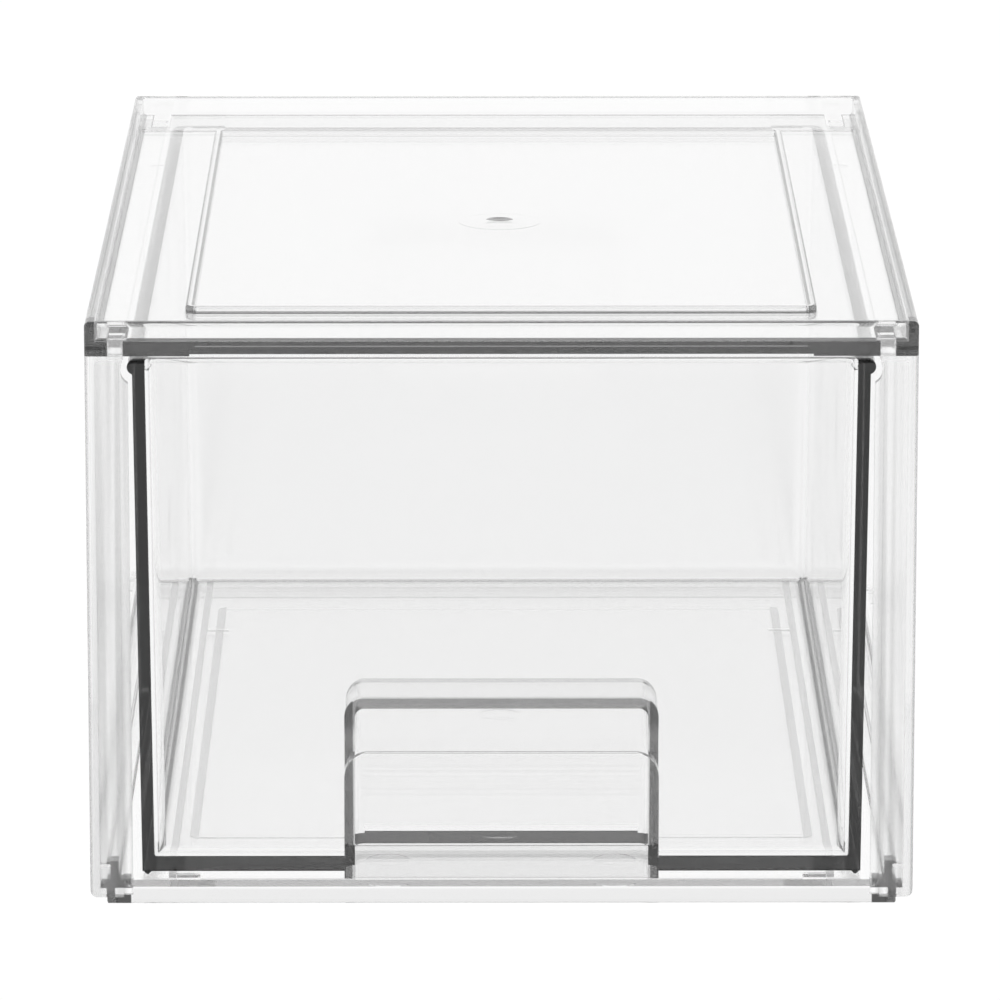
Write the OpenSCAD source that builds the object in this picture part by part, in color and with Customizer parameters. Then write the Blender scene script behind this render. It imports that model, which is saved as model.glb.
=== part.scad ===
// Stackable drawer box: a clear moulded case of five snap-together panels
// and one pull-out drawer with a moulded finger pull.
// X is to the right, Y runs from the front (-Y) to the back, Z is up.
// The origin is the centre of the underside.

/* [Case] */
// Width of the case
case_w = 230; // [190:1:320]
// Depth of the case, front to back
case_d = 350; // [260:1:420]
// Height of the case, from the plinth's underside to the top of the rim
case_h = 167; // [120:1:240]
// Wall thickness of the moulded case panels
panel_t = 2.6; // [2:0.1:3.2]
// Thickness of the top panel's plate
top_t = 3.2; // [2.6:0.1:3.6]
// Thickness of the base panel's plate
base_t = 2.4; // [2:0.1:3]
// Radius of the case's upright outer corners, but for the side panels' back edges
corner_r = 1.2; // [1:0.1:4]
// Radius of the lower outer edge of the side panels
foot_edge_r = 2; // [0.5:0.1:2.4]

/* [Stacking rim and plinth] */
// Height of the rim above the top panel's plate
rim_h = 5.7; // [4:0.1:8]
// Wall thickness of the rim
rim_t = 2.8; // [2:0.1:3.6]
// Radius of the rim's upper outer edge
rim_edge_r = 1.4; // [0.5:0.1:1.8]
// Radius of the fillet round the inside of the rim's foot
rim_foot_r = 1; // [0.4:0.1:1.2]
// Gap between a plinth and the rim that it stands in, on each side
nest_gap_x = 1.7; // [0.5:0.1:4]
// Gap between a plinth and the rim that it stands in, front and back
nest_gap_y = 0.4; // [0.2:0.1:2]
// How far the plinth reaches below the side panels
plinth_drop = 2.8; // [1.5:0.1:4.5]
// Wall thickness of the plinth and of the snap walls above it
plinth_t = 2.25; // [1.8:0.05:2.8]
// Radius of the plinth's lower outer edge
plinth_edge_r = 0.8; // [0.6:0.1:1.4]
// Height of the raised bead on the top plate
top_bead_h = 2; // [1:0.1:3]
// Height of the raised bead on the base plate
base_bead_h = 0.4; // [0.2:0.05:0.5]
// Width of both beads
bead_w = 2.5; // [1.5:0.1:4]
// Distance from the case's side to a bead
bead_inset_x = 26.5; // [20:0.5:34]
// Distance from the case's front or back to a bead
bead_inset_y = 39; // [20:0.5:60]
// Corner radius of the beads
bead_r = 3.2; // [2.6:0.1:6]
// Radius of the top bead's upper edges
bead_edge_r = 0.8; // [0.3:0.1:1]

/* [Posts and flanges] */
// Width of a front post at its widest, behind the face
post_w = 11.8; // [10:0.1:16]
// How far the face of a post steps back from its widest
post_step = 2.4; // [1:0.1:3]
// Radius of the small web at the foot of a post's face
post_web_r = 2.6; // [1:0.1:3]
// Height of that web above the side panel's lower edge
post_web_lift = 2.7; // [1:0.1:5]
// Width of the side panels' top flange
top_flange_w = 10.4; // [9:0.1:11]
// Thickness of the side panels' top flange
top_flange_t = 2.1; // [1.4:0.1:2.6]
// Thickness of the side panels' foot flange, which carries the base
foot_flange_t = 1.7; // [1:0.05:2]
// Thickness of the base's own flange, which rests on the foot flanges
base_flange_t = 1.2; // [1:0.05:2]
// How much deeper the top panel is over the side panels
strip_t = 0.6; // [0.4:0.1:1]
// Radius of the fillet under the side panels' top flange
web_r = 1.5; // [0.5:0.1:2]
// Thickness of the upright rib that the back panel seats against
back_rib_t = 2; // [1.4:0.1:2.6]

/* [Snap joints] */
// Height of the base's upright snap wall above its plate
snap_wall_h = 5.4; // [4.5:0.1:9]
// How far the snap wall steps in from the plinth's side
snap_step = 1.1; // [0.5:0.1:1.5]
// Size of the bevel along the inner foot of the snap wall
snap_bevel = 0.4; // [0.2:0.1:0.8]
// Height of the snap nose and thickness of the ledge below it
snap_nose_h = 0.9; // [0.6:0.1:1.2]
// How far the nose reaches over the ledge
snap_grip = 1; // [0.5:0.1:1.4]
// Length of a snap window in the top panel
clip_l = 21; // [14:0.5:30]
// Width of a snap window
clip_w = 5.4; // [4.6:0.1:6]
// Distance from the case's side to a snap window
clip_inset = 5.2; // [4.5:0.1:5.5]
// Play between a snap finger and the inner side of its window
clip_play = 0.5; // [0.2:0.05:1]
// Length of a snap finger's flat top
clip_top_l = 3; // [1:0.5:8]
// Height of the slot that a finger's barb snaps into
clip_slot_h = 1.2; // [0.8:0.1:1.4]
// How far a barb reaches into its slot
clip_grip = 0.4; // [0.2:0.1:0.6]
// How far a snap window leans in towards the top
clip_lean = 1; // [0:0.1:1.2]

/* [Drawer] */
// Wall and floor thickness of the drawer
drawer_t = 2.95; // [2:0.05:3.2]
// How far the drawer's front stands behind the case's front
drawer_setback = 8.5; // [7:0.1:12]
// Gap between the drawer's top edge and a post
drawer_side_gap = 0.95; // [0.6:0.05:2.5]
// Gap above the drawer
drawer_top_gap = 2.7; // [1.5:0.1:6]
// Gap between the closed drawer and the back panel
drawer_back_gap = 0.6; // [0.4:0.1:4]
// Moulding draft of the drawer's side walls, in degrees
draft = 0.6; // [0.3:0.05:1.2]
// How far the round rim bead stands out from the side walls
rim_bead_w = 1.4; // [1:0.05:1.8]
// Diameter of the rim bead
rim_bead_d = 4.4; // [3.6:0.1:5]
// Gap between the rim bead and the notch in the posts
bead_notch_gap = 1.6; // [0.6:0.1:1.8]
// Radius of the drawer's upper edges at the front and the back
drawer_edge_r = 1.4; // [0.4:0.1:1.5]
// Radius between the drawer's floor and its front and back
floor_r = 4.2; // [1:0.1:6]
// Radius between the drawer's floor and its sides
side_floor_r = 2.4; // [1:0.1:5]
// Radius of the drawer's upright inner corners
inner_corner_r = 4; // [2.5:0.1:6]
// Height of the runners that the drawer slides on
runner_h = 0.9; // [0.8:0.05:1.6]
// Width of a runner
runner_w = 2; // [1.5:0.1:3]
// Distance from the drawer's side to the middle of a runner
runner_inset = 8.5; // [7:0.5:12]
// Running clearance between the drawer and the runners
run_gap = 0.15; // [0.1:0.01:0.3]
// Width of the tapered rib under each side of the drawer
side_rib_w = 2.2; // [1.2:0.1:2.6]
// Gap between such a rib and the base
side_rib_gap = 0.2; // [0.1:0.05:0.5]
// How far the drawer pulls out before it meets its stops
travel = 270; // [120:1:280]

/* [Finger pull] */
// Width of the finger pull
pull_w = 87.8; // [60:0.1:120]
// Wall thickness of the finger pull
pull_t = 2.9; // [2.4:0.1:3.6]
// Radius of the pocket's upright back corners, inside
pocket_corner_r = 2.2; // [1:0.1:4]
// Height of the pull's arch above the drawer's underside
pull_h = 49.9; // [40:0.1:60]
// Radius of the arch's upper corners
pull_r = 5.5; // [4:0.1:10]
// Depth of the finger pocket under the roof, from the drawer's front
pocket_top = 21.5; // [14:0.5:26]
// Depth of the finger pocket at the drawer's floor
pocket_floor = 29.8; // [22:0.1:40]
// Radius between the pocket's roof and its back, inside
pocket_r = 1.2; // [1:0.1:4]
// Radius between the pocket's back and the drawer's floor
pocket_foot_r = 4; // [1:0.1:6]
// Height of the lip above the drawer's underside
lip_h = 36.4; // [24:0.1:38]
// Thickness of the lip
lip_t = 2.8; // [2:0.1:4]
// Radius of the lip's upper corners
lip_r = 7.4; // [5:0.1:12]
// How far the lip stands behind the case's front
lip_setback = 0.6; // [0.2:0.1:3]

/* [Stops and moulding marks] */
// Width of a stop bump
stop_w = 6.6; // [4:0.1:7]
// Depth of a stop bump
stop_d = 2.4; // [1.5:0.1:4]
// Gap between a stop bump and the runner beside it
stop_gap = 0.2; // [0.1:0.05:1]
// Clearance of the drawer's stops over the base's bead
stop_play = 0.15; // [0.1:0.05:0.3]
// Distance from the base's front edge to a stop bump
stop_front = 2.2; // [1.5:0.1:5]
// Diameter of the gate dimple in the middle of the top panel
gate_d = 8; // [4:0.5:12]
// Diameter of the low boss under the gate dimple
gate_boss_d = 24; // [14:1:30]
// Depth of the gate dimple
gate_depth = 0.5; // [0.3:0.1:1.4]
// Diameter of the round ejector marks on the base
mark_d = 12; // [6:0.5:16]
// Distance from the middle of the box to an ejector mark on the base
mark_x = 32; // [20:1:38]
// Distance from the case's front to an ejector mark on the base
mark_y = 25; // [20:0.5:28]
// Diameter of the small ejector marks on the top panel's side strips
strip_mark_d = 5; // [3:0.5:7]
// Height or depth of all the moulding marks
mark_t = 0.2; // [0.1:0.05:0.3]

/* [Fits] */
// Gap at the seams between one panel and the next
seam_gap = 0.15; // [0.1:0.05:0.3]
// Gap left where one panel rests on another
seat_gap = 0.05; // [0.02:0.01:0.1]

/* [Hidden] */

$fn = 64;
eps = 0.01;
over = 20;

// The smallest radius that the mould gives an inner corner
least_r = 1;

// Half sizes of the case
hx = case_w / 2;
hy = case_d / 2;

// Levels, from the bottom up
z_foot = plinth_drop;
z_base_under = z_foot + foot_flange_t + seat_gap;
z_base = z_base_under + base_t;
z_drawer = z_base + runner_h + run_gap;
z_floor = z_drawer + drawer_t;
z_plate = case_h - rim_h;
z_plate_under = z_plate - top_t;
z_strip = z_plate_under - strip_t;
z_side_top = z_strip - seat_gap;
z_flange = z_side_top - top_flange_t;
z_drawer_top = z_strip - drawer_top_gap;

// Widths and depths inside the case
wall_x = hx - panel_t;
open_x = hx - post_w;
back_y = hy - panel_t;
post_d = 2 * panel_t;
post_back = -hy + post_d + seam_gap;
plinth_x = hx - rim_t - nest_gap_x;
plinth_y = hy - rim_t - nest_gap_y;
bead_x = hx - bead_inset_x;
bead_y = hy - bead_inset_y;
strip_x = bead_x - bead_w;
window_x = hx - clip_inset - clip_w;
clip_y = hy - rim_t - seam_gap;

// The drawer's outline
front_y = -hy + drawer_setback;
drawer_back_y = back_y - drawer_back_gap;
drawer_h = z_drawer_top - z_drawer;
drawer_x_top = open_x - drawer_side_gap;
drawer_x = drawer_x_top - drawer_h * tan(draft);
runner_x = drawer_x - runner_inset;
stop_x = runner_x - runner_w / 2 - stop_gap - stop_w / 2;
lip_y = -hy + lip_setback;
pull_slope = atan((pocket_floor - pocket_top) / (pull_h - pull_t));

// The snap walls of the base and the ledges of the side panels
z_nose = z_base + snap_wall_h - snap_nose_h;
snap_x = plinth_x - snap_step;
ledge_x = snap_x + seam_gap;
nose_x = ledge_x + snap_grip;

// The drawer's stops meet the base's bumps at the end of the travel
bump_y = -plinth_y + stop_front;
drawer_stop_y = bump_y + stop_d + travel + seam_gap;
stop_drop = runner_h + run_gap - base_bead_h - stop_play;

// ---- Shared shapes ----

// A solid between two values of Z, from an outline in X and Y
module rise(z0, z1) {
  translate([0, 0, z0]) linear_extrude(z1 - z0) children();
}

// A solid between two values of Y, from an outline in X and Z
module along_y(y0, y1) {
  translate([0, y1, 0]) rotate([90, 0, 0]) linear_extrude(y1 - y0) children();
}

// A solid between two values of X, from an outline in Y and Z
module along_x(x0, x1) {
  translate([x0, 0, 0]) rotate([90, 0, 90]) linear_extrude(x1 - x0) children();
}

// A rectangle given by two opposite corners
module rect(x0, x1, y0, y1) {
  translate([x0, y0]) square([x1 - x0, y1 - y0]);
}

// The same with all four corners rounded
module round_rect(x0, x1, y0, y1, r) {
  rect(x0 + r, x1 - r, y0, y1);
  rect(x0, x1, y0 + r, y1 - r);
  for (x = [x0 + r, x1 - r], y = [y0 + r, y1 - r]) translate([x, y]) circle(r);
}

// An upright outline with rounded upper corners
module arch(half, z0, z1, r) {
  rect(-half, half, z0, z1 - r);
  rect(-half + r, half - r, z0, z1);
  for (side = [-1, 1]) translate([side * (half - r), z1 - r]) circle(r);
}

// The same upside down, with rounded lower corners
module basin(half, z0, z1, r) {
  translate([0, z0 + z1]) mirror([0, 1]) arch(half, z0, z1, r);
}

// A block given by two opposite corners
module block(x0, x1, y0, y1, z0, z1) {
  translate([x0, y0, z0]) cube([x1 - x0, y1 - y0, z1 - z0]);
}

// The quarter-round web that fills an inner corner; sx and sy point into the open quadrant
module web(x, y, r, sx, sy) {
  translate([x, y]) difference() {
    rect(min(0, sx * r), max(0, sx * r), min(0, sy * r), max(0, sy * r));
    translate([sx * r, sy * r]) circle(r);
  }
}

// ---- Top panel: plate, stacking rim, bead, side strips and snap windows ----

module top_panel() {
  color([0.93, 0.95, 0.96, 0.35]) {
    difference() {
      union() {
        rim_and_plate();
        intersection() {
          rise(z_strip, z_plate) round_rect(-hx, hx, -hy, hy, corner_r);
          for (side = [-1, 1]) translate([side * (strip_x + hx) / 2, 0, z_plate_under])
            cube([hx - strip_x, case_d, 2 * strip_t], center = true);
        }
        rise(z_plate_under - mark_t, z_plate) circle(d = gate_boss_d);
      }
      rim_recess();
      gate_dimple();
      for (side = [-1, 1]) translate([side * (hx - top_flange_w), hy / 2, z_strip - eps])
        cylinder(d = strip_mark_d, h = mark_t + eps);
      each_clip() snap_window();
    }
    top_bead();
  }
}

// The outline of the rim and the plate, with the rim's upper outer edge rounded
module rim_and_plate() {
  intersection() {
    rise(z_plate_under, case_h) round_rect(-hx, hx, -hy, hy, corner_r);
    along_y(-hy, hy) arch(hx, 0, case_h, rim_edge_r);
    along_x(-hx, hx) arch(hy, 0, case_h, rim_edge_r);
  }
}

// The space inside the rim, with a fillet round its foot
module rim_recess() {
  recess_x = hx - rim_t;
  recess_y = hy - rim_t;
  intersection() {
    rise(z_plate, case_h + over)
      round_rect(-recess_x, recess_x, -recess_y, recess_y, max(corner_r - rim_t, least_r));
    along_y(-hy, hy) basin(recess_x, z_plate, case_h + over, rim_foot_r);
    along_x(-hx, hx) basin(recess_y, z_plate, case_h + over, rim_foot_r);
  }
}

// The bead that frames the middle of the top plate, with rounded upper edges
module top_bead() {
  for (side = [-1, 1]) {
    along_y(-bead_y + bead_r, bead_y - bead_r)
      translate([side * (bead_x - bead_w / 2), 0]) bead_section();
    along_x(-bead_x + bead_r, bead_x - bead_r)
      translate([side * (bead_y - bead_w / 2), 0]) bead_section();
  }
  for (sx = [-1, 1], sy = [-1, 1]) intersection() {
    translate([sx * (bead_x - bead_r), sy * (bead_y - bead_r), 0])
      rotate_extrude() translate([bead_r - bead_w / 2, 0]) bead_section();
    rise(z_plate_under, case_h) rect(
      min(sx * bead_x, sx * (bead_x - bead_r)), max(sx * bead_x, sx * (bead_x - bead_r)),
      min(sy * bead_y, sy * (bead_y - bead_r)), max(sy * bead_y, sy * (bead_y - bead_r))
    );
  }
}

module bead_section() {
  arch(bead_w / 2, z_plate - eps, z_plate + top_bead_h, bead_edge_r);
}

// The shallow round hollow left where the plastic entered the mould
module gate_dimple() {
  ball_r = (gate_d * gate_d / 4 + gate_depth * gate_depth) / (2 * gate_depth);
  translate([0, 0, z_plate - gate_depth + ball_r]) sphere(ball_r);
}

// Puts a shape made for the right-hand back corner of the case into all four corners
module each_clip() {
  for (sx = [0, 1], sy = [0, 1]) mirror([sx, 0, 0]) mirror([0, sy, 0]) children();
}

// The window for a snap finger, with a slot to the outside that its barb catches in
module snap_window() {
  slot_z = (z_strip + z_plate) / 2 - clip_slot_h / 2;
  along_y(clip_y - clip_l, clip_y) clip_outline(0);
  block(window_x + clip_w / 2, hx + over, clip_y - clip_l, clip_y, slot_z, slot_z + clip_slot_h);
}

// The leaning outline of a window, or of a finger where a gap is taken off its sides
module clip_outline(gap, rest = 0) {
  x0 = window_x + gap + rest;
  x1 = window_x + clip_w - gap;
  polygon([
    [x0, z_strip - top_flange_t], [x1, z_strip - top_flange_t], [x1, z_strip],
    [x1 - clip_lean, z_plate], [x1 - clip_lean, z_plate + over],
    [x0 - clip_lean, z_plate + over], [x0 - clip_lean, z_plate], [x0, z_strip]
  ]);
}

// ---- Base panel: plate, plinth, snap walls, runners, bead and stop bumps ----

module base_panel() {
  color([0.93, 0.95, 0.96, 0.35]) {
    difference() {
      union() {
        base_plate();
        plinth();
      }
      for (side = [-1, 1]) translate([side * mark_x, -hy + mark_y, z_base - mark_t])
        cylinder(d = mark_d, h = over);
    }
    for (side = [-1, 1]) {
      snap_wall(side);
      runner(side);
      stop_bump(side * stop_x, bump_y, z_base, runner_h);
    }
    base_bead();
  }
}

// The plate, narrower between the posts, and its thin flange at the sides
module base_plate() {
  edge_x = wall_x - seam_gap;
  rise(z_base_under, z_base) {
    rect(-open_x + seam_gap, open_x - seam_gap, -plinth_y, post_back + eps);
    rect(-plinth_x, plinth_x, post_back, back_y - seam_gap);
  }
  rise(z_base_under, z_base_under + base_flange_t)
    rect(-edge_x, edge_x, post_back, back_y - seam_gap);
}

// The low bead that frames the middle of the base plate
module base_bead() {
  inner_x = bead_x - bead_w;
  inner_y = bead_y - bead_w;
  rise(z_base - eps, z_base + base_bead_h) difference() {
    round_rect(-bead_x, bead_x, -bead_y, bead_y, bead_r);
    round_rect(-inner_x, inner_x, -inner_y, inner_y, bead_r - bead_w);
  }
}

// The skirt under the base that stands inside the rim of the box below
module plinth() {
  intersection() {
    union() {
      rise(0, z_foot - seam_gap) difference() {
        round_rect(-plinth_x, plinth_x, -plinth_y, plinth_y, corner_r);
        plinth_hollow();
      }
      rise(0, z_base) rect(-open_x + seam_gap, open_x - seam_gap, -plinth_y, -plinth_y + plinth_t);
      rise(z_foot - seam_gap - eps, z_base) difference() {
        rect(-plinth_x, plinth_x, post_back, back_y - seam_gap - plinth_t);
        rect(-plinth_x + plinth_t, plinth_x - plinth_t, -hy, hy);
      }
      rise(z_foot - seam_gap - eps, z_base)
        rect(-plinth_x, plinth_x, plinth_y - plinth_t, plinth_y);
    }
    along_y(-hy, hy) basin(plinth_x, 0, case_h, plinth_edge_r);
    along_x(-hx, hx) basin(plinth_y, 0, case_h, plinth_edge_r);
  }
}

module plinth_hollow() {
  round_rect(
    -plinth_x + plinth_t, plinth_x - plinth_t, -plinth_y + plinth_t, plinth_y - plinth_t,
    max(corner_r - plinth_t, least_r)
  );
}

// The upright wall along each side of the base; its nose snaps over a side panel's ledge
module snap_wall(side) {
  top_z = z_base + snap_wall_h;
  inner_x = snap_x - plinth_t;
  along_y(post_back, back_y - seam_gap) mirror([side < 0 ? 1 : 0, 0]) polygon([
    [inner_x - snap_bevel, z_base - eps], [snap_x, z_base - eps], [snap_x, z_nose + seat_gap],
    [nose_x, z_nose + seat_gap], [nose_x, z_nose + snap_nose_h / 2], [snap_x, top_z],
    [inner_x, top_z], [inner_x, z_base + snap_bevel]
  ]);
}

// A low rail under each side of the drawer's floor
module runner(side) {
  mid = side * runner_x;
  y0 = -plinth_y + plinth_t;
  along_y(y0, back_y - seam_gap)
    rect(mid - runner_w / 2, mid + runner_w / 2, z_base - eps, z_base + runner_h);
}

// A bump with a ramp on its front and back; a height below 0 points it down
module stop_bump(x, y, z, h) {
  ramp = stop_d / 4;
  root = z - sign(h) * eps;
  along_x(x - stop_w / 2, x + stop_w / 2)
    polygon([[y, root], [y + stop_d, root], [y + stop_d - ramp, z + h], [y + ramp, z + h]]);
}

// ---- Side panels: wall, front post, flanges, snap fingers and snap ledge ----

module left_side_panel() {
  color([0.90, 0.93, 0.95, 0.35]) side_panel();
}

module right_side_panel() {
  color([0.90, 0.93, 0.95, 0.35]) mirror([1, 0, 0]) side_panel();
}

// The panel is rounded along its front corner and its lower edge, and square at the back
module side_panel() {
  intersection() {
    union() {
      along_y(-hy, hy) rect(-hx, -wall_x, z_foot, z_side_top);
      along_y(-hy, back_y - seam_gap) side_section();
      rise(z_foot, z_side_top) post_plan();
      opening_web();
      back_rib();
      snap_finger(-1);
      snap_finger(1);
    }
    rise(0, case_h) {
      round_rect(-hx, hx, -hy, hy, corner_r);
      rect(-hx, hx, 0, hy);
    }
    along_y(-hy, hy) round_rect(-hx, hx, z_foot, case_h + over, foot_edge_r);
    side_envelope();
  }
}

// Keeps the top of the post clear of the drawer's round rim bead
module side_envelope() {
  bead_x0 = drawer_x_top + rim_bead_w - rim_bead_d / 2;
  bead_z = z_drawer_top - rim_bead_d / 2;
  notch_r = rim_bead_d / 2 + bead_notch_gap;
  difference() {
    block(-hx, 0, -hy, hy, 0, case_h);
    along_y(-hy - over, -hy + post_d + eps) {
      translate([-bead_x0, bead_z]) circle(notch_r);
      polygon([
        [-bead_x0 - notch_r, bead_z], [-window_x, z_side_top + eps],
        [-window_x, case_h], [0, case_h], [0, bead_z]
      ]);
    }
  }
}

// A finger that rises through a window of the top panel, sloped at both ends; its barb
// snaps into the slot there
module snap_finger(end) {
  slot_z = (z_strip + z_plate) / 2 - clip_slot_h / 2;
  z0 = slot_z + seat_gap;
  z1 = slot_z + clip_slot_h - seam_gap;
  z_top = z_plate - seam_gap;
  half = clip_l / 2 - seam_gap;
  barb_x = window_x + clip_w - clip_lean / 2;
  root_x = barb_x - clip_play - clip_grip;
  intersection() {
    along_y(-hy, hy) mirror([1, 0]) {
      clip_outline(seam_gap, clip_play);
      polygon([[root_x, z0], [barb_x + clip_grip, z0], [root_x, z1]]);
    }
    along_x(-hx, 0) translate([end * (clip_y - clip_l / 2), 0]) polygon([
      [-half, z_flange], [half, z_flange], [half, z_side_top], [clip_top_l / 2, z_top],
      [-clip_top_l / 2, z_top], [-half, z_side_top]
    ]);
  }
}

// The flanges and the ledge that stand in from the wall, in front of the back panel
module side_section() {
  rect(-hx, -hx + top_flange_w, z_flange, z_side_top);
  rect(-hx, -plinth_x - seam_gap, z_foot, z_foot + foot_flange_t);
  rect(-hx, -ledge_x, z_nose - snap_nose_h, z_nose);
  web(-wall_x, z_flange, web_r, 1, -1);
}

// The post in plan: a face and a wider layer behind it
module post_plan() {
  rect(-hx, -open_x - post_step, -hy, -hy + panel_t + eps);
  rect(-hx, -open_x, -hy + panel_t, -hy + post_d);
}

// The small quarter-round web at the foot of the post's face
module opening_web() {
  along_y(-hy, -hy + panel_t)
    web(-open_x - post_step, z_foot + post_web_lift, post_web_r, 1, 1);
}

// The upright rib that the back panel seats against
module back_rib() {
  y1 = back_y - seam_gap;
  z0 = z_base + 2 * snap_wall_h;
  block(-wall_x - eps, -wall_x + back_rib_t, y1 - back_rib_t, y1, z0, z_flange + eps);
}

// ---- Back panel: plate with a tongue along its top between the side strips ----

module back_panel() {
  edge_x = wall_x - seam_gap;
  tongue_x = strip_x - seam_gap;
  color([0.93, 0.95, 0.96, 0.35]) along_y(back_y, hy) {
    round_rect(-edge_x, edge_x, z_foot, z_side_top, foot_edge_r / 2);
    rect(-tongue_x, tongue_x, z_side_top - corner_r, z_plate_under - seat_gap);
  }
}

// ---- Drawer: drafted tray with a rim bead and a moulded finger pull ----

module drawer() {
  color([0.95, 0.97, 0.98, 0.35]) {
    difference() {
      union() {
        drawer_shell();
        intersection() {
          pull_block(0);
          block(-pull_w, pull_w, front_y, hy, z_drawer, z_drawer_top);
        }
        pull_foot();
      }
      pull_pocket();
      translate([0, 0, z_drawer - eps]) cylinder(d = mark_d, h = mark_t + eps);
    }
    lip();
    for (side = [-1, 1]) {
      stop_bump(side * stop_x, drawer_stop_y, z_drawer, -stop_drop);
      side_rib(side * (drawer_x - drawer_t / 2));
    }
  }
}

// A tapered rib along the underside of a side wall, just clear of the base
module side_rib(mid) {
  half = side_rib_w / 2;
  tip_z = z_base + side_rib_gap;
  along_y(front_y, drawer_back_y - inner_corner_r - drawer_t) polygon([
    [mid - half, z_drawer + eps], [mid + half, z_drawer + eps], [mid + half / 4, tip_z],
    [mid - half / 4, tip_z]
  ]);
}

module drawer_shell() {
  corner = inner_corner_r + drawer_t;
  difference() {
    intersection() {
      union() {
        drafted(drawer_x) half_plan(front_y - over, drawer_back_y + eps, 0, corner);
        rim_beads(corner + rim_bead_w);
      }
      along_x(-hx, hx) translate([(front_y + drawer_back_y) / 2, 0])
        arch((drawer_back_y - front_y) / 2, z_drawer, z_drawer_top, drawer_edge_r);
    }
    drawer_hollow();
  }
}

// What two prisms on one plan share, each leaning out by the draft from x at the floor
module drafted(x) {
  intersection_for(side = [0, 1])
    mirror([side, 0, 0]) translate([x, 0, z_drawer]) rotate([0, draft, 0]) translate([0, 0, -over])
      linear_extrude(drawer_h + 2 * over) children();
}

// A plan with its right-hand side at X = 0, a corner radius in front (0 for none) and one behind
module half_plan(y0, y1, r0, r1) {
  rect(-case_w, 0, y0 + r0, y1 - r1);
  rect(-case_w, -r1, y0 + r0, y1);
  translate([-r1, y1 - r1]) circle(r1);
  if (r0 > 0) {
    rect(-case_w, -r0, y0, y1 - r1);
    translate([-r0, y0 + r0]) circle(r0);
  }
}

// The round beads along the top of both sides, which follow the back corners
module rim_beads(corner) {
  r = rim_bead_d / 2;
  reach = drawer_x_top + rim_bead_w;
  mid_z = z_drawer_top - r;
  intersection() {
    along_y(front_y - over, drawer_back_y + over) {
      rect(-reach + r, reach - r, mid_z - r, z_drawer_top);
      for (side = [-1, 1]) translate([side * (reach - r), mid_z]) circle(r);
    }
    intersection_for(side = [0, 1]) mirror([side, 0, 0]) translate([reach + eps, 0, 0])
      rise(z_drawer, z_drawer_top + over) half_plan(front_y - over, drawer_back_y + eps, 0, corner);
  }
}

// The space inside the drawer: its ends and floor come from the side, its walls from the plan
module drawer_hollow() {
  y0 = front_y + drawer_t;
  y1 = drawer_back_y - drawer_t;
  corner = inner_corner_r;
  intersection() {
    along_y(y0 - over, y1 + over) hollow_front();
    along_x(-hx, hx) round_rect(y0, y1, z_floor, z_drawer_top + over, floor_r);
    drafted(drawer_x - drawer_t / cos(draft)) half_plan(y0 - eps, y1 + eps, corner, corner);
  }
}

// The fillets between the floor and the drafted sides, in an outline that clears both by a hair
module hollow_front() {
  lean = tan(draft);
  r = side_floor_r;
  mid_x = drawer_x - drawer_t + (z_floor - z_drawer + r) * lean - r / cos(draft);
  touch_x = mid_x + r * cos(draft) + eps;
  touch_z = z_floor + r - r * sin(draft);
  rise_z = z_drawer_top + over;
  top_x = drawer_x_top - drawer_t + over * lean + eps;
  polygon([
    [-mid_x, z_floor - eps], [mid_x, z_floor - eps], [mid_x, z_floor + r], [touch_x, touch_z],
    [top_x, rise_z], [-top_x, rise_z], [-touch_x, touch_z], [-mid_x, z_floor + r]
  ]);
  for (side = [-1, 1]) translate([side * mid_x, z_floor + r]) circle(r + eps);
}

// The block that stands up inside the drawer behind its front; inset shrinks it on all sides
module pull_block(inset) {
  half = pull_w / 2 - inset;
  top_z = z_drawer + pull_h - inset;
  intersection() {
    along_y(-hy - over, 0) arch(half, z_drawer - over, top_z, max(pull_r - inset, least_r));
    along_x(-hx, hx) pull_profile(inset, top_z);
    pull_plan(half + eps, pull_back(inset, z_drawer), pocket_corner_r + pull_t - inset);
  }
}

// The plan of the pull with its round back corners, extruded along the slope of its back
module pull_plan(half, y, r) {
  translate([0, y, z_drawer]) rotate([pull_slope, 0, 0]) translate([0, 0, -over])
    linear_extrude(pull_h + 2 * over) {
      rect(-half, half, -case_d, -r);
      rect(-half + r, half - r, -case_d, 0);
      for (side = [-1, 1]) translate([side * (half - r), -r]) circle(r);
    }
}

// Where the back of the pull stands at a height; an inset of the wall gives the pocket's back
function pull_back(inset, z) =
  front_y + pocket_top + (pull_t - inset) / cos(pull_slope)
    + (z_drawer + pull_h - pull_t - z) * tan(pull_slope);

// The rounding between the roof and the sloping back, seen from the side
module pull_profile(inset, top_z) {
  difference() {
    rect(-hy - over, 0, z_drawer - over, top_z + over);
    corner_cut(pull_back(inset, top_z), top_z, pocket_r + pull_t - inset, pull_slope);
  }
}

// What a radius takes off the corner between a roof and a back that slopes away below it
module corner_cut(y, z, r, slope) {
  reach = r * tan((90 - slope) / 2);
  difference() {
    polygon([
      [y - reach, z + over], [y + over, z + over], [y + over, z - over],
      [y + reach * sin(slope), z - reach * cos(slope)]
    ]);
    translate([y - reach, z - r]) circle(r + eps);
  }
}

// The fillet between the back of the pull and the drawer's floor
module pull_foot() {
  r = pocket_foot_r;
  half = pull_w / 2 - pocket_corner_r - pull_t;
  foot_y = pull_back(0, z_floor);
  reach = r * (1 - sin(pull_slope)) / cos(pull_slope);
  root = drawer_t / 2;
  along_x(-half, half) difference() {
    polygon([
      [foot_y - root, z_floor - root], [foot_y + reach, z_floor - root],
      [foot_y + reach, z_floor + r],
      [foot_y + reach - r * cos(pull_slope), z_floor + r - r * sin(pull_slope)]
    ]);
    translate([foot_y + reach, z_floor + r]) circle(r + eps);
  }
}

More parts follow.
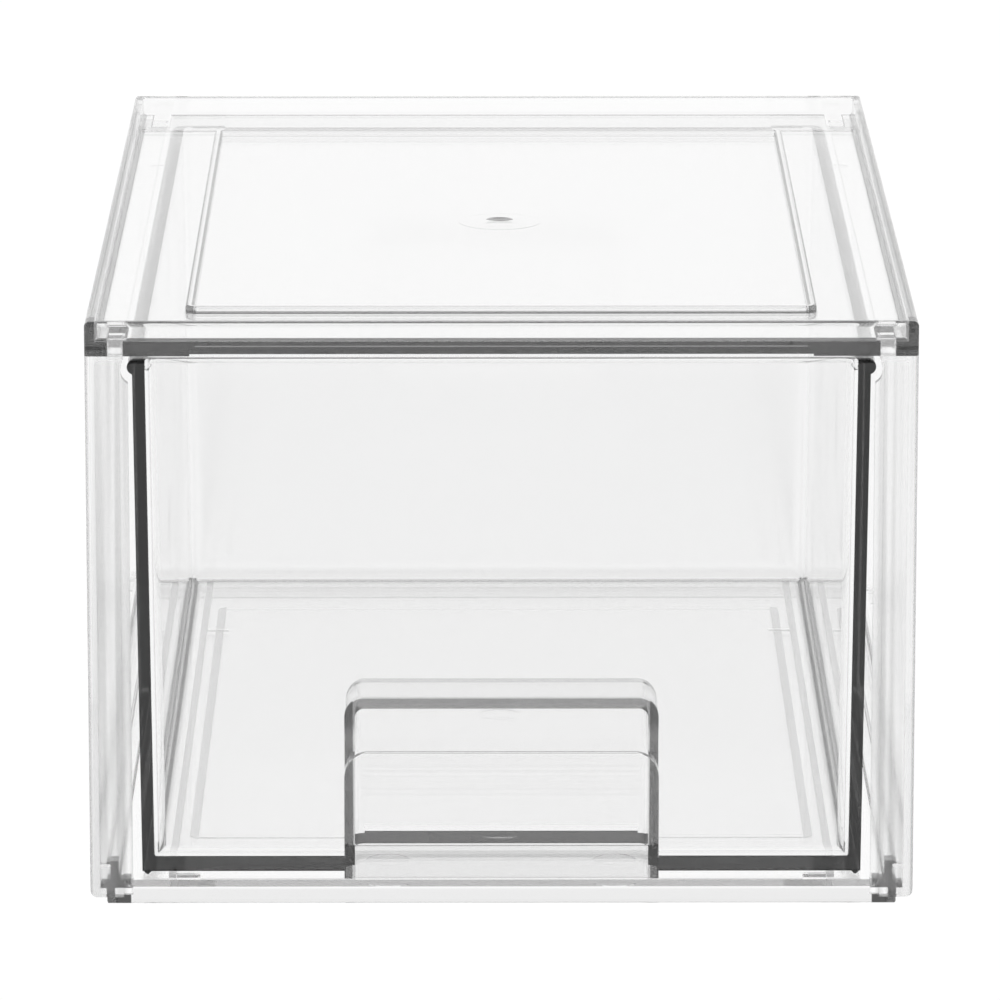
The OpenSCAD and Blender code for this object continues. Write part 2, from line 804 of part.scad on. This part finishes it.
// The finger pocket, open below and in front
module pull_pocket() {
  pull_block(pull_t);
}

// The lip in front of the pocket, with a cheek on each side that ties it to the drawer
module lip() {
  half = pull_w / 2;
  top_z = z_drawer + lip_h;
  edge = lip_t / 2;
  intersection() {
    along_y(lip_y, front_y + drawer_t) arch(half, z_drawer, top_z, lip_r);
    union() {
      along_x(-half, half) {
        rect(lip_y, lip_y + lip_t, z_drawer, top_z - edge);
        translate([lip_y + edge, top_z - edge]) circle(edge);
      }
      for (side = [-1, 1]) translate([side * (half - pull_t / 2), 0, z_drawer + lip_h / 2])
        cube([pull_t, 2 * case_d, 2 * lip_h], center = true);
    }
  }
}

top_panel();
base_panel();
left_side_panel();
right_side_panel();
back_panel();
drawer();
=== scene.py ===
"""Clear stackable drawer box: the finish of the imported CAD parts, the studio and the camera."""
import math

import bpy
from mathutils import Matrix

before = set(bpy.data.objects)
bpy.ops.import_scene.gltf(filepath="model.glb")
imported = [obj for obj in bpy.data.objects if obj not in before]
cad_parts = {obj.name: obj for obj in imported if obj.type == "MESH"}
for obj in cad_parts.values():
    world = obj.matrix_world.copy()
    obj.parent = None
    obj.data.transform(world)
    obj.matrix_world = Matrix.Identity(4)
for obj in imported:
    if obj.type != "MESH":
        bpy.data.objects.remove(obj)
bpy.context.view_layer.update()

MM = 0.001

# ---- Camera: the fitted viewpoint, for a 1000 x 1000 frame ----
FRAME_PX = 1000
FOCAL_PX = 8112
SENSOR_MM = 36.0
CAMERA_AT = (-7.3 * MM, -2359.6 * MM, 626.4 * MM)
PITCH_DEG = 13.13
YAW_DEG = 0.18
CLIP_M = (0.05, 50.0)

# ---- Studio ----
FLOOR_SIZE = 12.0
FLOOR_GLOW = 1.02
# How far the floor lies below the box's underside, so that the two never meet
FLOOR_GAP_MM = 0.2
HORIZON_GLOW = 1.0
ZENITH_GLOW = 0.8
# Where the dome changes from one glow to the other, as the height on a dome of radius 1
DOME_HEIGHTS = (0.1, 0.9)
# The unlit part of the room behind the camera
DARK_GLOW = 0.45
DARK_TILT_DEG = 13.0
DARK_CORE_DEG = 25.0
DARK_EDGE_DEG = 50.0

# ---- Clear polystyrene ----
PLASTIC_IOR = 1.57
# Light crosses many walls on its way through the box and the drawer
BOUNCES = 128
TRANSPARENT_BOUNCES = 16
ABSORPTION_COLOUR = (0.1, 0.1, 0.1, 1)
# How strongly each part absorbs along its length, per metre
ABSORPTION_PER_M = {
    "top_panel": 4.0,
    "base_panel": 1.8,
    "left_side_panel": 0.3,
    "right_side_panel": 0.3,
    "back_panel": 1.0,
    "drawer": 9.0,
}
# The faint waviness of every moulded face, and how often it repeats along X, Y and Z
WAVE_MM = 30.0
WAVE_DEPTH_MM = 0.01
WAVE_REPEATS = (1, 1, 1)

# ---- Places on the parts ----
# They are in mm from a face of the box that the part itself fills: its side, front, back, foot
# or top. A pair named STEP_MM is where a smooth change starts and ends. Any other pair in mm is
# the stretch that something covers, with this softness at both ends.
SOFT_MM = 0.2

# The front ends of the top, the base and the posts, where shade is painted, from the front
END_STEP_MM = (7.0, 8.0)

# Side panels: flow lines in their posts, as bumps and as streaks in the painted shade of their
# front ends, and how often these repeat along X, Y and Z
STREAK_MM = 3.0
STREAK_DEPTH_MM = 0.015
STREAK_REPEATS = (1, 0, 0.01)
# The noise values that the streaks' two painted shades belong to
STREAK_NOISE = (0.35, 0.65)
STREAK_PAINTED_SHADES = (0.72, 0.97)
POST_ROUGHNESS = 0.12
# The painted shade line down a post's rounded outer edge, from the side
POST_EDGE_STEP_MM = (0.4, 1.1)
POST_EDGE_PAINTED_SHADE = 0.5

# Top panel, painted in shade at its front end: the plate from the top, and the rim and the
# clear snap windows from the side
TOP_END_PAINTED_SHADE = 0.1
PLATE_STEP_MM = (5.3, 5.5)
RIM_STEP_MM = (2.7, 3.0)
CLIPS_MM = (6.4, 10.5)
# The bead's painted shade lines: its front foot and front corners from the front and from
# the side, and both from the top
BEAD_PAINTED_SHADE = 0.25
BEAD_FOOT_MM = (38.8, 39.7)
BEAD_END_STEP_MM = (26.1, 26.3)
BEAD_CORNER_DEPTH_MM = (38.8, 42.5)
BEAD_CORNER_MM = (26.3, 29.5)
BEAD_DOWN_MM = (5.0, 5.6)

# Base panel: its walls, painted in shade at their front ends, from the side, and its plinth,
# painted grey for the floor's shadow under the box, from the foot
BASE_END_PAINTED_SHADE = 0.07
WALL_STEP_MM = (8.25, 8.75)
PLINTH_STEP_MM = (4.1, 4.6)
PLINTH_PAINTED_SHADOW = 0.82
# The runners, scuffed where the drawer rubs, from the side and from the foot
RUNNER_MM = (16.25, 26.25)
RUNNER_FOOT_STEP_MM = (7.0, 7.1)
SCUFF_ROUGHNESS = 0.3

# Back panel: a slight grey, and a haze that the drawer's back has too
BACK_TINT = 0.95
BACK_ROUGHNESS = 0.07

# Drawer: the finger pull's arch, painted in shade at its front end, from the front; its half
# width, top over the drawer's foot, outer corner radius and wall
ARCH_END_STEP_MM = (9.0, 10.0)
ARCH_HALF_MM = 43.9
ARCH_TOP_MM = 50.75
ARCH_R_MM = 5.5
ARCH_WALL_MM = 2.9
ARCH_SOFT_MM = 0.1
ARCH_PAINTED_SHADE = 0.18
# The arch's painted shade is darkest over its roof. Below this, from the foot, its walls have a
# share of that.
ARCH_FADE_STEP_MM = (38.85, 45.85)
ARCH_WALL_SHARE = 0.3
# The lip of the finger pull, painted slightly grey in shade at its front end, from the foot
LIP_STEP_MM = (9.85, 11.85)
LIP_PAINTED_SHADE = 0.85
# The drawer's hazy back, from the back
DRAWER_BACK_STEP_MM = (3.8, 4.3)
# The hazy inner corner along the foot of the drawer's sides, from the side and from the foot
CORNER_MM = (4.15, 8.65)
CORNER_TOP_STEP_MM = (6.85, 7.85)
CORNER_ROUGHNESS = 0.12


def make_camera():
    """A long lens, in front of the box and a little above it."""
    data = bpy.data.cameras.new("camera")
    data.sensor_width = SENSOR_MM
    data.lens = FOCAL_PX / FRAME_PX * SENSOR_MM
    data.clip_start, data.clip_end = CLIP_M
    camera = bpy.data.objects.new("camera", data)
    camera.location = CAMERA_AT
    camera.rotation_euler = (math.radians(90 - PITCH_DEG), 0.0, math.radians(-YAW_DEG))
    bpy.context.scene.collection.objects.link(camera)
    bpy.context.scene.camera = camera


def ramp_node(nodes, low, high, at_low, at_high):
    """A smooth step from at_low to at_high as the input goes from low to high."""
    node = nodes.new("ShaderNodeMapRange")
    node.interpolation_type = "SMOOTHSTEP"
    node.inputs["From Min"].default_value = low
    node.inputs["From Max"].default_value = high
    node.inputs["To Min"].default_value = at_low
    node.inputs["To Max"].default_value = at_high
    return node


def make_world():
    """A soft white dome, greyer overhead, with the unlit room behind the camera."""
    world = bpy.data.worlds.new("studio")
    world.use_nodes = True
    nodes, links = world.node_tree.nodes, world.node_tree.links
    nodes.clear()
    coord = nodes.new("ShaderNodeTexCoord")
    split = nodes.new("ShaderNodeSeparateXYZ")
    toward = nodes.new("ShaderNodeVectorMath")
    toward.operation = "DOT_PRODUCT"
    tilt = math.radians(DARK_TILT_DEG)
    toward.inputs[1].default_value = (0.0, -math.cos(tilt), math.sin(tilt))
    dome = ramp_node(nodes, *DOME_HEIGHTS, HORIZON_GLOW, ZENITH_GLOW)
    dark = ramp_node(nodes, math.cos(math.radians(DARK_EDGE_DEG)),
                     math.cos(math.radians(DARK_CORE_DEG)), 1.0, DARK_GLOW)
    both = nodes.new("ShaderNodeMath")
    both.operation = "MULTIPLY"
    shade = nodes.new("ShaderNodeBackground")
    shade.inputs["Color"].default_value = (1, 1, 1, 1)
    out = nodes.new("ShaderNodeOutputWorld")
    links.new(coord.outputs["Generated"], split.inputs[0])
    links.new(coord.outputs["Generated"], toward.inputs[0])
    links.new(split.outputs["Z"], dome.inputs["Value"])
    links.new(toward.outputs["Value"], dark.inputs["Value"])
    links.new(dome.outputs["Result"], both.inputs[0])
    links.new(dark.outputs["Result"], both.inputs[1])
    links.new(both.outputs[0], shade.inputs["Strength"])
    links.new(shade.outputs[0], out.inputs["Surface"])
    bpy.context.scene.world = world


def make_floor():
    """A plain white table that glows evenly, as an overexposed studio floor does."""
    half = FLOOR_SIZE / 2
    mesh = bpy.data.meshes.new("floor")
    corners = [(-half, -half, 0), (half, -half, 0), (half, half, 0), (-half, half, 0)]
    mesh.from_pydata(corners, [], [(0, 1, 2, 3)])
    floor = bpy.data.objects.new("floor", mesh)
    floor.location.z = -FLOOR_GAP_MM * MM
    bpy.context.scene.collection.objects.link(floor)
    material = bpy.data.materials.new("floor_white")
    material.use_nodes = True
    shader = material.node_tree.nodes["Principled BSDF"]
    shader.inputs["Base Color"].default_value = (0, 0, 0, 1)
    shader.inputs["Specular IOR Level"].default_value = 0.0
    shader.inputs["Roughness"].default_value = 1.0
    shader.inputs["Emission Color"].default_value = (1, 1, 1, 1)
    shader.inputs["Emission Strength"].default_value = FLOOR_GLOW
    mesh.materials.append(material)


class Plastic:
    """Water-clear moulded plastic for one part, darker along a plate's length than through it.

    A mask is 1 where something applies and 0 elsewhere. Masks come from places on the part,
    so they stay on it wherever it moves.
    """

    def __init__(self, node):
        self.material = bpy.data.materials.new(node + "_clear")
        self.material.use_nodes = True
        self.nodes = self.material.node_tree.nodes
        self.links = self.material.node_tree.links
        self.shader = self.nodes["Principled BSDF"]
        self.shader.inputs["Base Color"].default_value = (1, 1, 1, 1)
        self.shader.inputs["Transmission Weight"].default_value = 1.0
        self.shader.inputs["IOR"].default_value = PLASTIC_IOR
        self.shader.inputs["Roughness"].default_value = 0.0
        inside = self.nodes.new("ShaderNodeVolumeAbsorption")
        inside.inputs["Color"].default_value = ABSORPTION_COLOUR
        inside.inputs["Density"].default_value = ABSORPTION_PER_M[node]
        self.links.new(inside.outputs[0], self.nodes["Material Output"].inputs["Volume"])
        self.point = self.nodes.new("ShaderNodeTexCoord").outputs["Object"]
        self.waves = self.relief(self.noise(WAVE_MM, WAVE_REPEATS), WAVE_DEPTH_MM)
        self.put(self.waves, "Normal")
        self.split = self.nodes.new("ShaderNodeSeparateXYZ")
        self.links.new(self.point, self.split.inputs[0])
        self.corners = [vertex.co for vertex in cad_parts[node].data.vertices]

    def put(self, value, socket):
        """Lead a value into one of the shader's sockets."""
        self.links.new(value, self.shader.inputs[socket])

    # Numbers

    def number(self, operation, first, second=None):
        """A Math node; each input is a socket or a plain number."""
        node = self.nodes.new("ShaderNodeMath")
        node.operation = operation
        for socket, value in zip(node.inputs, (first, second)):
            if isinstance(value, (int, float)):
                socket.default_value = value
            elif value is not None:
                self.links.new(value, socket)
        return node.outputs[0]

    def product(self, first, second):
        return self.number("MULTIPLY", first, second)

    def larger(self, first, second):
        return self.number("MAXIMUM", first, second)

    def ramp(self, value, low, high, at_low, at_high):
        node = ramp_node(self.nodes, low, high, at_low, at_high)
        self.links.new(value, node.inputs["Value"])
        return node.outputs["Result"]

    # Distances in metres from the faces of the part's own box

    def from_middle(self):
        return self.number("ABSOLUTE", self.split.outputs["X"])

    def from_side(self):
        side = max(abs(corner.x) for corner in self.corners)
        return self.number("SUBTRACT", side, self.from_middle())

    def from_front(self):
        front = min(corner.y for corner in self.corners)
        return self.number("SUBTRACT", self.split.outputs["Y"], front)

    def from_back(self):
        back = max(corner.y for corner in self.corners)
        return self.number("SUBTRACT", back, self.split.outputs["Y"])

    def from_foot(self):
        foot = min(corner.z for corner in self.corners)
        return self.number("SUBTRACT", self.split.outputs["Z"], foot)

    def from_top(self):
        top = max(corner.z for corner in self.corners)
        return self.number("SUBTRACT", top, self.split.outputs["Z"])

    def past(self, distance, start):
        """How far a distance is past a length in mm, or 0 before it."""
        return self.larger(self.number("SUBTRACT", distance, start * MM), 0.0)

    # Masks and what they do

    def step(self, distance, span, at_start=0.0, at_end=1.0):
        """Go smoothly from at_start to at_end as a distance crosses a span in mm."""
        start, end = span
        return self.ramp(distance, start * MM, end * MM, at_start, at_end)

    def within(self, distance, span, soft=SOFT_MM):
        """1 where a distance is in a span in mm, 0 where it is not."""
        start, end = span
        return self.product(self.step(distance, (start - soft, start)),
                            self.step(distance, (end, end + soft), 1.0, 0.0))

    def front_end(self, span=END_STEP_MM):
        """1 at the part's front end and 0 behind it."""
        return self.step(self.from_front(), span, 1.0, 0.0)

    def blend(self, mask, outside, inside):
        """Go smoothly from one value to another as a mask goes from 0 to 1."""
        return self.ramp(mask, 0.0, 1.0, outside, inside)

    # Textures

    def noise(self, wavelength, repeats):
        """Smooth noise with a wavelength in mm, repeated so often along X, Y and Z."""
        mapping = self.nodes.new("ShaderNodeMapping")
        texture = self.nodes.new("ShaderNodeTexNoise")
        mapping.inputs["Scale"].default_value = [share / (wavelength * MM) for share in repeats]
        texture.inputs["Scale"].default_value = 1.0
        texture.inputs["Detail"].default_value = 1.0
        self.links.new(self.point, mapping.inputs["Vector"])
        self.links.new(mapping.outputs["Vector"], texture.inputs["Vector"])
        return texture.outputs["Fac"]

    def relief(self, height, depth, under=None):
        """A bump with a depth in mm, laid over another bump where there is one."""
        bump = self.nodes.new("ShaderNodeBump")
        bump.inputs["Distance"].default_value = depth * MM
        self.links.new(height, bump.inputs["Height"])
        if under is not None:
            self.links.new(under, bump.inputs["Normal"])
        return bump.outputs["Normal"]


def back_plastic(node):
    """The back panel: slightly grey and hazy all over."""
    plastic = Plastic(node)
    plastic.shader.inputs["Base Color"].default_value = (BACK_TINT, BACK_TINT, BACK_TINT, 1)
    plastic.shader.inputs["Roughness"].default_value = BACK_ROUGHNESS
    return plastic.material


def top_plastic(node):
    """The top: painted shade on the front ends of its plate and rim, and in lines on its bead."""
    plastic = Plastic(node)
    behind, inward, down = plastic.from_front(), plastic.from_side(), plastic.from_top()
    solid = plastic.number("SUBTRACT", 1.0, plastic.within(inward, CLIPS_MM))
    plate = plastic.product(plastic.step(down, PLATE_STEP_MM), solid)
    rim = plastic.step(inward, RIM_STEP_MM, 1.0, 0.0)
    end = plastic.product(plastic.larger(plate, rim), plastic.front_end())
    # Where the bead's lines of painted shade go
    foot = plastic.product(plastic.within(behind, BEAD_FOOT_MM),
                           plastic.step(inward, BEAD_END_STEP_MM))
    corner = plastic.product(plastic.within(behind, BEAD_CORNER_DEPTH_MM),
                             plastic.within(inward, BEAD_CORNER_MM))
    bead = plastic.product(plastic.within(down, BEAD_DOWN_MM), plastic.larger(foot, corner))
    # Painted shade: the front ends of the plate and rim, and the bead's lines, darken the base
    # colour
    painted_shade = plastic.product(plastic.blend(end, 1.0, TOP_END_PAINTED_SHADE),
                           plastic.blend(bead, 1.0, BEAD_PAINTED_SHADE))
    plastic.put(painted_shade, "Base Color")
    return plastic.material


def post_plastic(node):
    """A side panel: flow-line bumps, and painted shade in streaks on its post's hazy front end."""
    plastic = Plastic(node)
    lines = plastic.noise(STREAK_MM, STREAK_REPEATS)
    plastic.put(plastic.relief(lines, STREAK_DEPTH_MM, plastic.waves), "Normal")
    front = plastic.front_end()
    # Painted shade at the post's front end: streaked along the flow lines, darkest down the outer
    # edge
    edge = plastic.step(plastic.from_side(), POST_EDGE_STEP_MM, POST_EDGE_PAINTED_SHADE, 1.0)
    streak_shade = plastic.product(edge, plastic.ramp(lines, *STREAK_NOISE, *STREAK_PAINTED_SHADES))
    painted_shade = plastic.nodes.new("ShaderNodeMapRange")
    painted_shade.inputs["To Min"].default_value = 1.0
    plastic.links.new(front, painted_shade.inputs["Value"])
    plastic.links.new(streak_shade, painted_shade.inputs["To Max"])
    plastic.put(painted_shade.outputs["Result"], "Base Color")
    plastic.put(plastic.blend(front, 0.0, POST_ROUGHNESS), "Roughness")
    return plastic.material


def base_plastic(node):
    """The base: shade painted on its walls' front ends, and a painted shadow greying its plinth.
    """
    plastic = Plastic(node)
    inward, up = plastic.from_side(), plastic.from_foot()
    wall = plastic.step(inward, WALL_STEP_MM, 1.0, 0.0)
    end = plastic.product(wall, plastic.front_end())
    # Painted shade on the walls' front ends, and a painted shadow in the plinth for the shaded
    # floor
    painted_shade = plastic.product(plastic.step(up, PLINTH_STEP_MM, PLINTH_PAINTED_SHADOW, 1.0),
                           plastic.blend(end, 1.0, BASE_END_PAINTED_SHADE))
    plastic.put(painted_shade, "Base Color")
    runner = plastic.product(plastic.step(up, RUNNER_FOOT_STEP_MM),
                             plastic.within(inward, RUNNER_MM))
    plastic.put(plastic.blend(runner, 0.0, SCUFF_ROUGHNESS), "Roughness")
    return plastic.material


def arch_ring(plastic, out, up):
    """The finger pull's arch, end-on: a wall with a round corner at each end of its roof."""
    reach = plastic.nodes.new("ShaderNodeCombineXYZ")
    plastic.links.new(plastic.past(out, ARCH_HALF_MM - ARCH_R_MM), reach.inputs["X"])
    plastic.links.new(plastic.past(up, ARCH_TOP_MM - ARCH_R_MM), reach.inputs["Z"])
    length = plastic.nodes.new("ShaderNodeVectorMath")
    length.operation = "LENGTH"
    plastic.links.new(reach.outputs[0], length.inputs[0])
    return plastic.within(length.outputs["Value"], (ARCH_R_MM - ARCH_WALL_MM, ARCH_R_MM),
                          ARCH_SOFT_MM)


def drawer_plastic(node):
    """The drawer: painted shade on the front end of its finger pull's arch, and a lighter one on
    its lip.
    """
    plastic = Plastic(node)
    out, up = plastic.from_middle(), plastic.from_foot()
    front = plastic.front_end(ARCH_END_STEP_MM)
    fade = plastic.step(up, ARCH_FADE_STEP_MM, ARCH_WALL_SHARE, 1.0)
    arch = plastic.product(plastic.product(arch_ring(plastic, out, up), fade), front)
    # Where the lip's front end is painted slightly grey in shade
    low = plastic.step(up, LIP_STEP_MM, 1.0, 0.0)
    lip = plastic.product(plastic.product(low, plastic.within(out, (0.0, ARCH_HALF_MM))), front)
    # Painted shade: the arch's front end is darkened, and the lip's front end greyed
    painted_shade = plastic.product(plastic.blend(arch, 1.0, ARCH_PAINTED_SHADE), plastic.blend(lip, 1.0, LIP_PAINTED_SHADE))
    plastic.put(painted_shade, "Base Color")
    corner = plastic.product(plastic.within(plastic.from_side(), CORNER_MM),
                             plastic.step(up, CORNER_TOP_STEP_MM, 1.0, 0.0))
    back = plastic.step(plastic.from_back(), DRAWER_BACK_STEP_MM, 1.0, 0.0)
    haze = plastic.larger(plastic.blend(corner, 0.0, CORNER_ROUGHNESS),
                          plastic.blend(back, 0.0, BACK_ROUGHNESS))
    plastic.put(haze, "Roughness")
    return plastic.material


FINISH = {
    "top_panel": top_plastic,
    "base_panel": base_plastic,
    "left_side_panel": post_plastic,
    "right_side_panel": post_plastic,
    "back_panel": back_plastic,
    "drawer": drawer_plastic,
}


def dress():
    """Give each CAD part its plastic."""
    for node, finish in FINISH.items():
        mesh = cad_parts[node].data
        mesh.materials.clear()
        mesh.materials.append(finish(node))


make_camera()
make_world()
make_floor()
dress()

scene = bpy.context.scene
scene.cycles.max_bounces = BOUNCES
scene.cycles.transmission_bounces = BOUNCES
scene.cycles.glossy_bounces = BOUNCES
scene.cycles.transparent_max_bounces = TRANSPARENT_BOUNCES
scene.view_settings.view_transform = "Standard"
